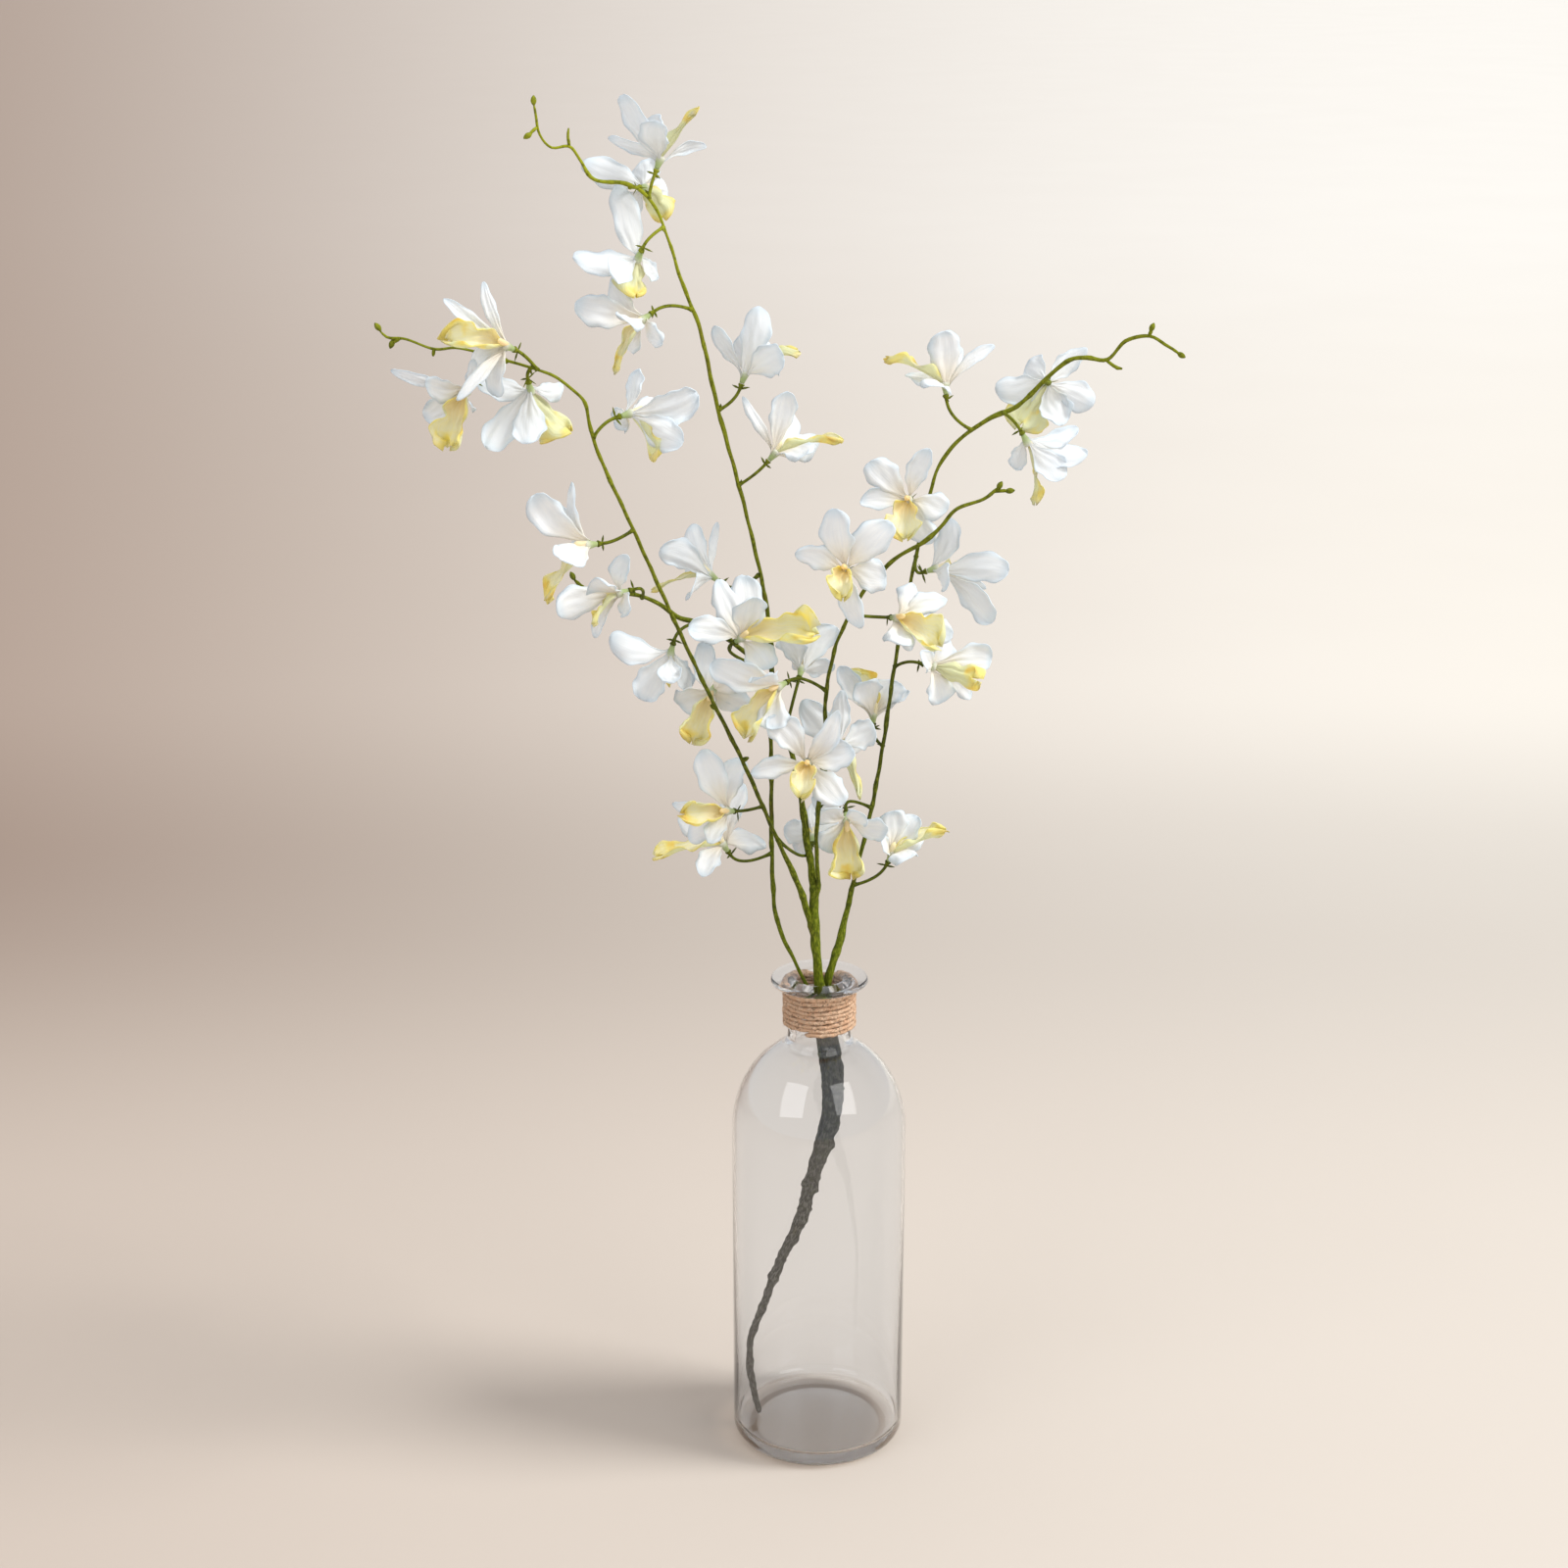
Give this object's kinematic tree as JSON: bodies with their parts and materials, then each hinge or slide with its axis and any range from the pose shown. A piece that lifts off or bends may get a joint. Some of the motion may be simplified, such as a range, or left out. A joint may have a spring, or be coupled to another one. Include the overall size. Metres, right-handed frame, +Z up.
{
  "type": "orchid arrangement",
  "caption": "Clear glass bottle with a twine-wrapped neck holding tall branched green stems with buds and small white orchid blooms with yellow lips.",
  "frame": {"origin": "centre of the bottle's flat underside", "axes": "+Z up, +X to the right as seen from the front, -Y towards the front"},
  "size_m": [0.402, 0.1613, 0.7362],
  "materials": {
    "glass": "clear and smooth, faintly blue in the thick edges",
    "twine": "coarse jute twine wound in close rows",
    "stem": "olive green, darker and rougher low down",
    "bloom": "thin translucent white petals with fine veins, lip pale lemon with a yellow-orange edge"
  },
  "bodies": {
    "root": {"vase_bottle": "glass", "neck_twine": "twine", "stem_main": "stem", "stem_tall": "stem", "stem_right": "stem", "bloom_tall_1": "bloom", "bloom_tall_2": "bloom", "bloom_tall_3": "bloom", "bloom_tall_4": "bloom", "bloom_tall_5": "bloom", "bloom_tall_6": "bloom", "bloom_tall_7": "bloom", "bloom_tall_8": "bloom", "bloom_left_1": "bloom", "bloom_left_2": "bloom", "bloom_left_3": "bloom", "bloom_left_4": "bloom", "bloom_left_5": "bloom", "bloom_left_6": "bloom", "bloom_left_7": "bloom", "bloom_arch_1": "bloom", "bloom_arch_2": "bloom", "bloom_arch_3": "bloom", "bloom_arch_4": "bloom", "bloom_arch_5": "bloom", "bloom_middle_1": "bloom", "bloom_middle_2": "bloom", "bloom_middle_3": "bloom", "bloom_middle_4": "bloom", "bloom_middle_5": "bloom", "bloom_right_1": "bloom", "bloom_right_2": "bloom", "bloom_right_3": "bloom", "bloom_right_4": "bloom", "bloom_right_5": "bloom", "bloom_right_6": "bloom", "bloom_right_7": "bloom", "bloom_right_8": "bloom", "bloom_right_9": "bloom"}
  },
  "joints": []
}
